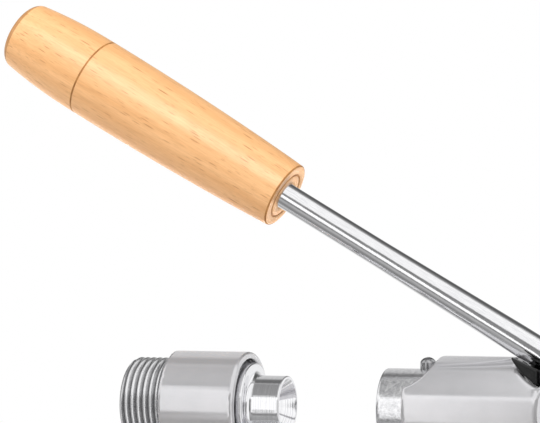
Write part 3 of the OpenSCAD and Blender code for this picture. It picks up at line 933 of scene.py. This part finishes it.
CASTING = sculpted("silver_frame_casting", casting, BED_LO, BED_HI, 0.8, SATIN)
place(CASTING, "frame", "frame_casting", "satin_casting")
BOARD = sculpted("beech_base_board", board, BOARD_LO, BOARD_HI, 1.1, BEECH_BASE)
BOARD.visible_glossy = False
place(BOARD, "frame", "base_board", "beech_base")
place(make_feet(), "frame", "rubber_feet", "rubber")
FORK_LO, FORK_HI = box_mm("lever_fork")
place(sculpted("black_lever_fork", fork, FORK_LO, FORK_HI, 0.5, BLACK), "lever", "lever_fork", "black_fork")
HANDLE = make_handle()
HANDLE.visible_glossy = False
place(HANDLE, "lever", "handle", "beech_handle")
place(make_rod(), "lever", "lever_rod", "chrome_rod")
place(make_ram_head(), "ram", "ram_head", "cast_chrome")
place(sculpted("black_ram_tail", tail, TAIL_LO, TAIL_HI, 0.6, BLACK), "ram", "ram_tail", "black_fork")
place(make_stop_screw(), "ram", "ram_stop_screw", "screw_steel")
place(make_anvil_screw(), "anvil_screw", "anvil_screw", "anvil_steel")
place(make_cup(), "anvil_cup", "anvil_cup", "polished_cup")

CAD_LOOKS = {
    "frame_bolts": SCREW_STEEL, "frame_washers": SCREW_STEEL, "frame_nuts": SCREW_STEEL,
    "pivot_pin": PIN_STEEL, "pivot_circlips": SPRING_STEEL,
    "thrust_washers": BRONZE, "pivot_bushes": BRONZE, "rod_lock_pin": PIN_STEEL, "drive_pin": PIN_STEEL,
    "handle_insert": BRASS, "ram_stud": PIN_STEEL, "cup_retaining_ring": SPRING_STEEL,
}
for node, material in CAD_LOOKS.items():
    for slot in frame["nodes"][node].material_slots:
        slot.material = material

frame["nodes"]["handle_insert"].visible_glossy = False

# ---- studio ----------------------------------------------------------------------------


def grey_ramp(tree, turn, stops):
    """Brightness round the ram axis: stops are (degrees up from the front horizon, over the top, level)."""
    ramp = tree.nodes.new("ShaderNodeValToRGB")
    elements = ramp.color_ramp.elements
    while len(elements) < len(stops):
        elements.new(0.5)
    for element, (degrees, level) in zip(elements, stops):
        element.position = (degrees + 180) / 360
        element.color = (level, level, level, 1)
    tree.links.new(turn, ramp.inputs["Fac"])
    return ramp.outputs["Color"]


# X of the directions square on to the ram, and towards the pale wall
SQUARE_ON_X = -0.335
WALL_X = 0.62


def studio_world():
    """White behind the object, and what it reflects: panels and dark gaps all round the ram axis."""
    world = bpy.data.worlds.new("studio")
    bpy.context.scene.world = world
    world.use_nodes = True
    tree = world.node_tree
    nodes, links = tree.nodes, tree.links

    def math_node(operation, a, b=0):
        n = nodes.new("ShaderNodeMath")
        n.operation = operation
        for value, socket in ((a, n.inputs[0]), (b, n.inputs[1])):
            if isinstance(value, (int, float)):
                socket.default_value = value
            else:
                links.new(value, socket)
        return n.outputs[0]

    split = nodes.new("ShaderNodeSeparateXYZ")
    links.new(nodes.new("ShaderNodeTexCoord").outputs["Generated"], split.inputs[0])
    x, y, z = split.outputs
    angle = math_node("ARCTAN2", z, math_node("MULTIPLY", y, -1))
    turn = math_node("ADD", math_node("DIVIDE", angle, 2 * math.pi), 0.5)

    def change(low, high, before, after):
        """One look before low, another past high, along the X of the direction."""
        step = nodes.new("ShaderNodeMapRange")
        step.interpolation_type = "SMOOTHSTEP"
        step.inputs["From Min"].default_value = low
        step.inputs["From Max"].default_value = high
        mix = nodes.new("ShaderNodeMix")
        mix.data_type = "RGBA"
        links.new(step.outputs["Result"], mix.inputs[0])
        links.new(before, mix.inputs[6])
        links.new(after, mix.inputs[7])
        return step.inputs["Value"], mix.outputs[2]

    def panels(low, high, level, below):
        """A bright front panel between two heights, with a dark gap at each end and greys all round."""
        return grey_ramp(tree, turn, [
            (-180, 0.9), (-120, 0.40), (-60, 0.34), (low - 11, below), (low - 7, 0.12), (low - 4, 0.12),
            (low, level), (high, level), (high + 2, 0.16), (high + 4, 0.34), (92, 0.31), (96, 0.50),
            (99, 0.24), (104, 0.16), (118, 0.20), (130, 0.62), (168, 0.70), (180, 1.0)])

    # What lies square to the ram, from its left to its right, and what lies off to both sides of that
    value, square_on = change(-0.353, -0.347, panels(-12, 41, 1.22, 0.34), panels(-28, 35, 1.12, 0.60))
    links.new(x, value)
    value, square_on = change(-0.325, -0.305, square_on, panels(-23, 33, 1.40, 0.40))
    links.new(x, value)
    aside = grey_ramp(tree, turn, [
        (-180, 1.0), (-150, 0.92), (-126, 0.35), (-105, 0.60), (-88, 0.58), (-74, 0.27), (-56, 0.26),
        (-40, 0.42), (-30, 0.50), (-21, 0.36), (-16, 0.18), (-9, 0.22), (12, 0.28), (22, 0.22),
        (29, 1.05), (92, 1.05), (98, 0.72), (107, 0.30), (120, 0.16), (135, 0.10), (155, 0.16), (180, 1.0)])
    value, around = change(0.06, 0.13, square_on, aside)
    links.new(math_node("ABSOLUTE", math_node("ADD", x, -SQUARE_ON_X)), value)
    # A pale wall to the right of that, which lights the edges that face it
    wall = grey_ramp(tree, turn, [(-180, 1.0), (0, 1.15), (180, 1.0)])
    value, around = change(0.24, 0.33, wall, around)
    links.new(math_node("ABSOLUTE", math_node("ADD", x, -WALL_X)), value)
    seen = nodes.new("ShaderNodeBackground")
    reflected = nodes["Background"]
    links.new(around, reflected.inputs["Color"])
    path = nodes.new("ShaderNodeLightPath")
    mix = nodes.new("ShaderNodeMixShader")
    seen.inputs["Color"].default_value = (1, 1, 1, 1)
    links.new(path.outputs["Is Camera Ray"], mix.inputs["Fac"])
    links.new(reflected.outputs[0], mix.inputs[1])
    links.new(seen.outputs[0], mix.inputs[2])
    links.new(mix.outputs[0], nodes["World Output"].inputs["Surface"])


FLOOR_EDGE = 0.75


def studio_floor_disc(radius):
    """A round floor under the base, set forward so that its far edge stays out of the picture."""
    rim = [(radius * math.cos(a), radius * math.sin(a) + FLOOR_EDGE - radius, 0)
           for a in [2 * math.pi * k / 128 for k in range(128)]]
    floor = make_object("floor", [tuple(c / MM for c in v) for v in rim], [list(range(128))], studio_floor())
    floor.visible_glossy = False


def area_light(name, place, aim, size, power):
    """A soft rectangular light, not seen in reflections."""
    data = bpy.data.lights.new(name, "AREA")
    data.shape = "RECTANGLE"
    data.size, data.size_y = size
    data.energy = power
    light = bpy.data.objects.new(name, data)
    bpy.context.scene.collection.objects.link(light)
    light.location = place
    light.rotation_euler = (Vector(aim) - Vector(place)).to_track_quat("-Z", "Y").to_euler()
    light.visible_glossy = False
    return light


def studio_camera():
    """A long lens from the front right, level with the lever."""
    azimuth, elevation, distance = math.radians(19.81), math.radians(-0.64), 0.9305
    target = Vector(((CUP_RIM - 7.32) * MM, 0, (AXIS_Z + 73.88) * MM))
    back = Vector((math.sin(azimuth) * math.cos(elevation), -math.cos(azimuth) * math.cos(elevation),
                   math.sin(elevation)))
    data = bpy.data.cameras.new("camera")
    data.lens = 162.5
    camera = bpy.data.objects.new("camera", data)
    bpy.context.scene.collection.objects.link(camera)
    camera.location = target + back * distance
    camera.rotation_euler = (-back).to_track_quat("-Z", "Y").to_euler()
    bpy.context.scene.camera = camera


studio_world()
studio_floor_disc(1.5)
area_light("key", (-0.35, -0.6, 1.1), (-0.08, 0, 0.12), (0.6, 0.5), 11)
area_light("under", (-0.17, 0.24, 0.02), (-0.17, 0, 0.18), (0.5, 0.1), 4)
SHEEN = area_light("handle_sheen", (-0.03, -0.9, 0.85), (-0.06, 0, 0.16), (0.9, 0.7), 8)
SHEEN.visible_glossy = True
SHEEN.visible_diffuse = False
LIT = bpy.data.collections.new("lit_by_sheen")
LIT.objects.link(HANDLE)
SHEEN.light_linking.receiver_collection = LIT
studio_camera()
bpy.context.scene.view_settings.view_transform = "Standard"
